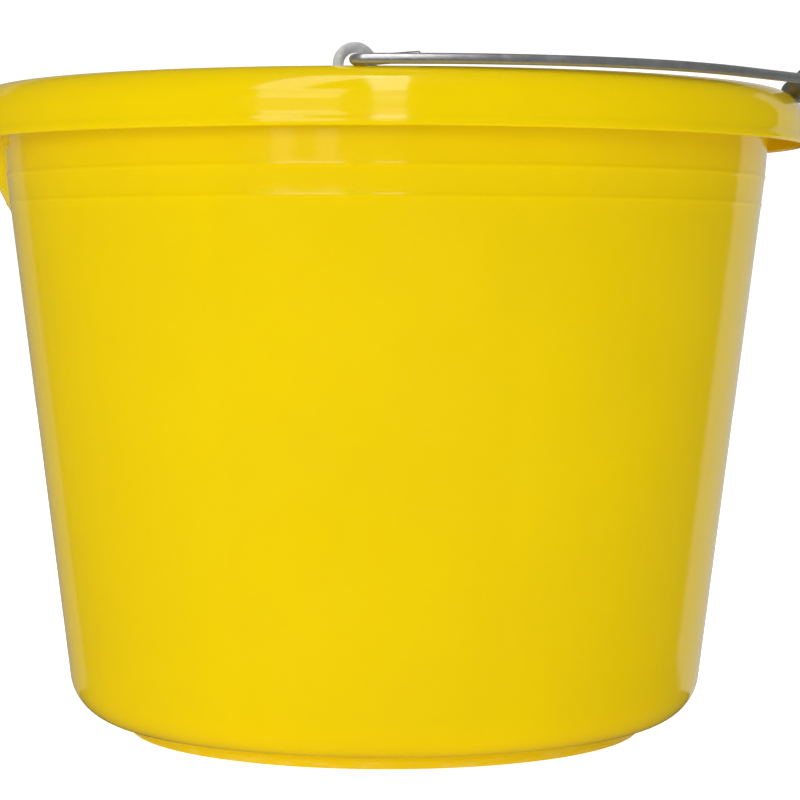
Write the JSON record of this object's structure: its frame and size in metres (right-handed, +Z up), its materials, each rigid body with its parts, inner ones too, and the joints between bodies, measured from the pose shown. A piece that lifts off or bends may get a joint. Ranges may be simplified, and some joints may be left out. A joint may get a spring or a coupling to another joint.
{
  "type": "builder's bucket",
  "caption": "Round tapered plastic builder's bucket with a skirted rim and pouring lip, steel ears, and a hinged wire bail with a tube grip.",
  "frame": {"origin": "centre of the flat underside of the foot ring, where the bucket stands", "axes": "+Z up along the bucket's axis; the bail's pivot line is parallel to Y; -X towards the pouring lip; +X where the folded bail's grip lies"},
  "size_m": [0.3748, 0.349, 0.2736],
  "materials": {
    "yellow_shell": "glossy moulded polyethylene, bright yellow",
    "galvanised_ear": "galvanised pressed steel",
    "rivet_steel": "zinc-plated rivets and washers",
    "galvanised_wire": "galvanised drawn wire",
    "grip_plastic": "dark grey moulded plastic"
  },
  "bodies": {
    "bucket": {"bucket_shell": "yellow_shell", "ear_plate_front": "galvanised_ear", "ear_plate_rear": "galvanised_ear", "ear_rivets_front": "rivet_steel", "ear_rivets_rear": "rivet_steel", "rivet_washers_front": "rivet_steel", "rivet_washers_rear": "rivet_steel"},
    "bail": {"bail_wire": "galvanised_wire"},
    "grip": {"bail_grip": "grip_plastic"}
  },
  "joints": [
    {"name": "bail_swing", "type": "hinge", "parent": "bucket", "child": "bail", "pos_m": [0, 0, 0.2673], "axis": [0, -1, 0], "range_deg": [0, 178]},
    {"name": "grip_spin", "type": "hinge", "parent": "bail", "child": "grip", "pos_m": [0.17197, 0, 0.2679], "axis": [0, 1, 0], "continuous": true}
  ]
}
